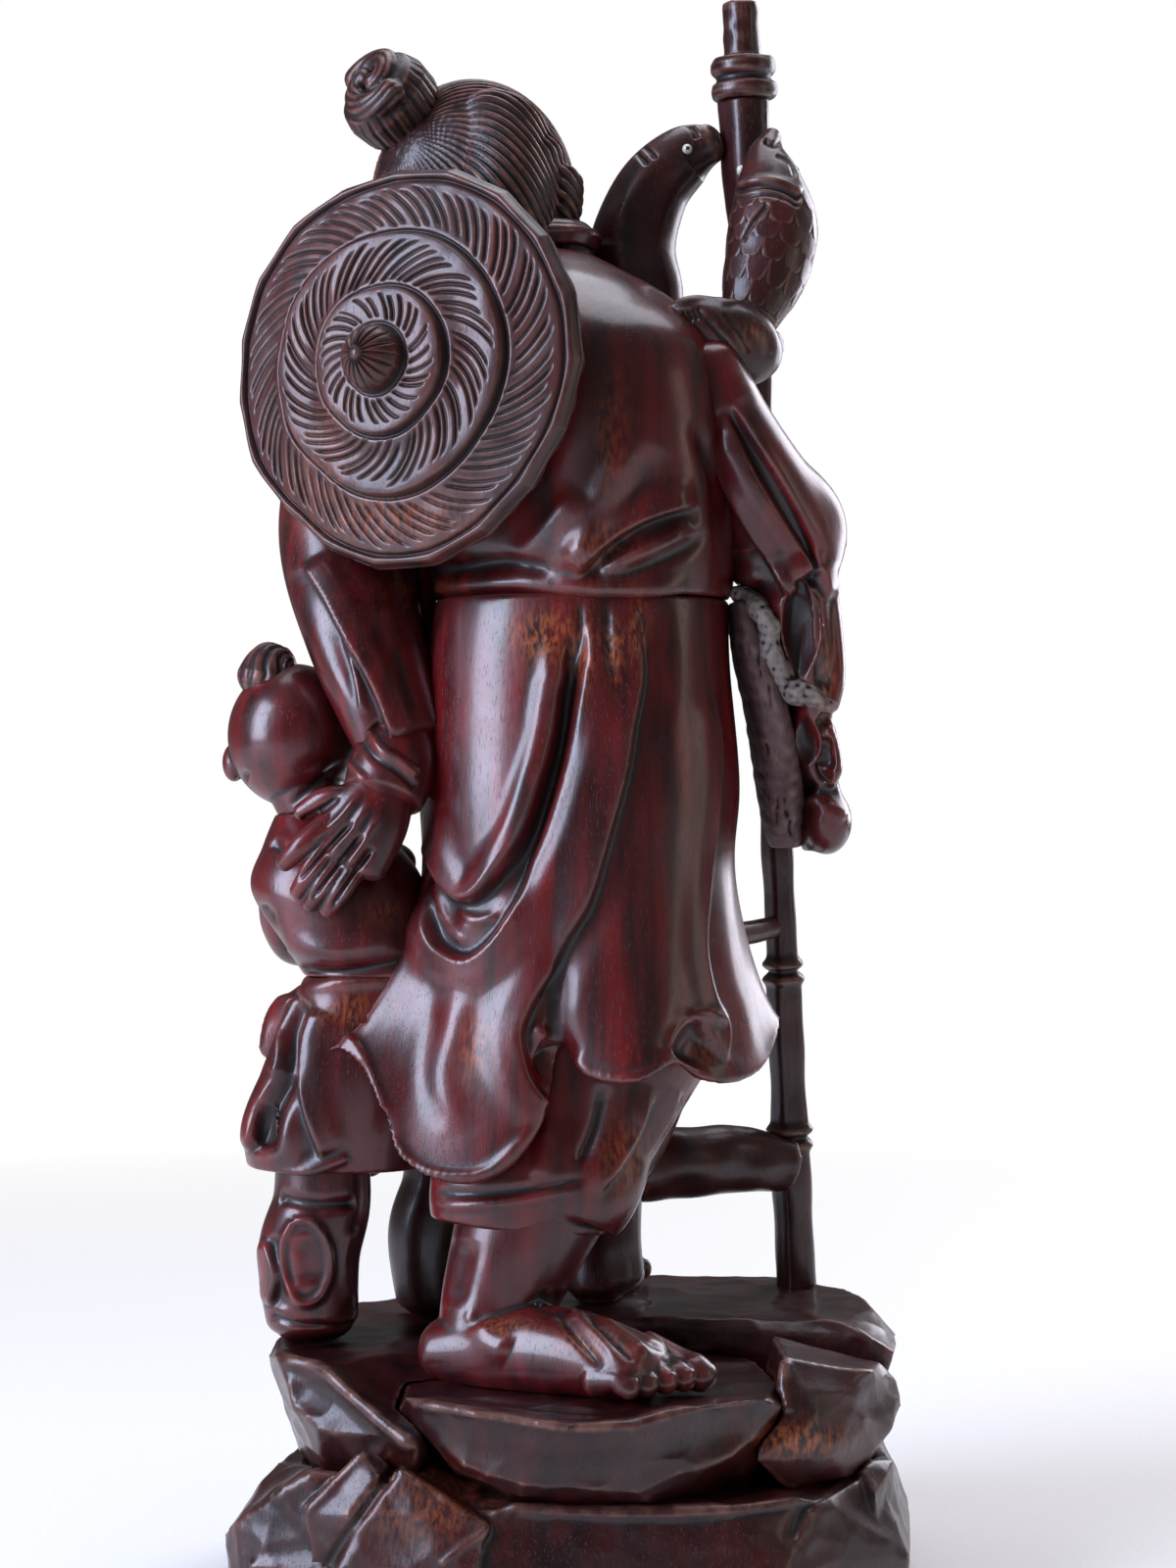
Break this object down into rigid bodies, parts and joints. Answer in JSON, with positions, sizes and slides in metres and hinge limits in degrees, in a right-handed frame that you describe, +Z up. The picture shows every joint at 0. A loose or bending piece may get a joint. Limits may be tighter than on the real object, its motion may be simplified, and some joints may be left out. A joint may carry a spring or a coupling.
{
  "type": "carved wooden figure",
  "caption": "Polished hardwood carving of an old fisherman with a straw hat, a staff with hanging fish and a small boy, on a rock base that stands on its flat underside.",
  "frame": {"origin": "middle of the bounding box at the underside of the rock base", "axes": "+Z up; the carving turns its back to -Y; +X is the side of the staff"},
  "size_m": [0.2292, 0.188, 0.5274],
  "materials": {
    "polished_rosewood": "dark red-brown rosewood, stained, polished and clear lacquered",
    "rock_rosewood": "dark rosewood with gouge facets, stained and lacquered",
    "unpolished_rosewood": "grey-brown tool-marked wood left without polish",
    "plain_dowel": "plain turned hardwood peg",
    "inlaid_bead": "small glossy white bead with a black pupil, let into the wood"
  },
  "bodies": {
    "root": {"rock_plinth": "rock_rosewood", "rock_ledge": "rock_rosewood", "rock_left_slab": "rock_rosewood", "rock_rear_slab": "rock_rosewood", "rock_right_boulder": "rock_rosewood", "man_right_foot": "polished_rosewood", "man_left_foot": "polished_rosewood", "man_trousers": "polished_rosewood", "robe_skirt": "polished_rosewood", "robe_torso": "polished_rosewood", "waist_dowel": "plain_dowel", "neck_dowel": "plain_dowel", "robe_collar": "polished_rosewood", "man_head": "polished_rosewood", "hair_bun": "polished_rosewood", "man_beard": "polished_rosewood", "straw_hat": "polished_rosewood", "hat_peg": "polished_rosewood", "left_sleeve": "polished_rosewood", "left_cuff": "polished_rosewood", "left_hand": "polished_rosewood", "right_sleeve": "polished_rosewood", "right_sleeve_lining": "unpolished_rosewood", "right_hand": "polished_rosewood", "staff_pole": "polished_rosewood", "staff_collar": "polished_rosewood", "staff_tip": "polished_rosewood", "root_strut": "polished_rosewood", "staff_twig": "polished_rosewood", "fish_right": "polished_rosewood", "fish_left": "polished_rosewood", "fish_tail_fin": "polished_rosewood", "boy_head": "polished_rosewood", "boy_hair_tuft": "polished_rosewood", "boy_jacket": "polished_rosewood", "boy_left_arm": "polished_rosewood", "boy_right_arm": "polished_rosewood", "boy_skirt": "polished_rosewood", "boy_left_boot": "polished_rosewood", "boy_right_boot": "polished_rosewood", "fish_right_eye_1": "inlaid_bead", "fish_right_eye_2": "inlaid_bead", "fish_left_eye_1": "inlaid_bead", "fish_left_eye_2": "inlaid_bead", "man_eye_1": "inlaid_bead", "man_eye_2": "inlaid_bead", "boy_eye_1": "inlaid_bead", "boy_eye_2": "inlaid_bead"}
  },
  "joints": []
}
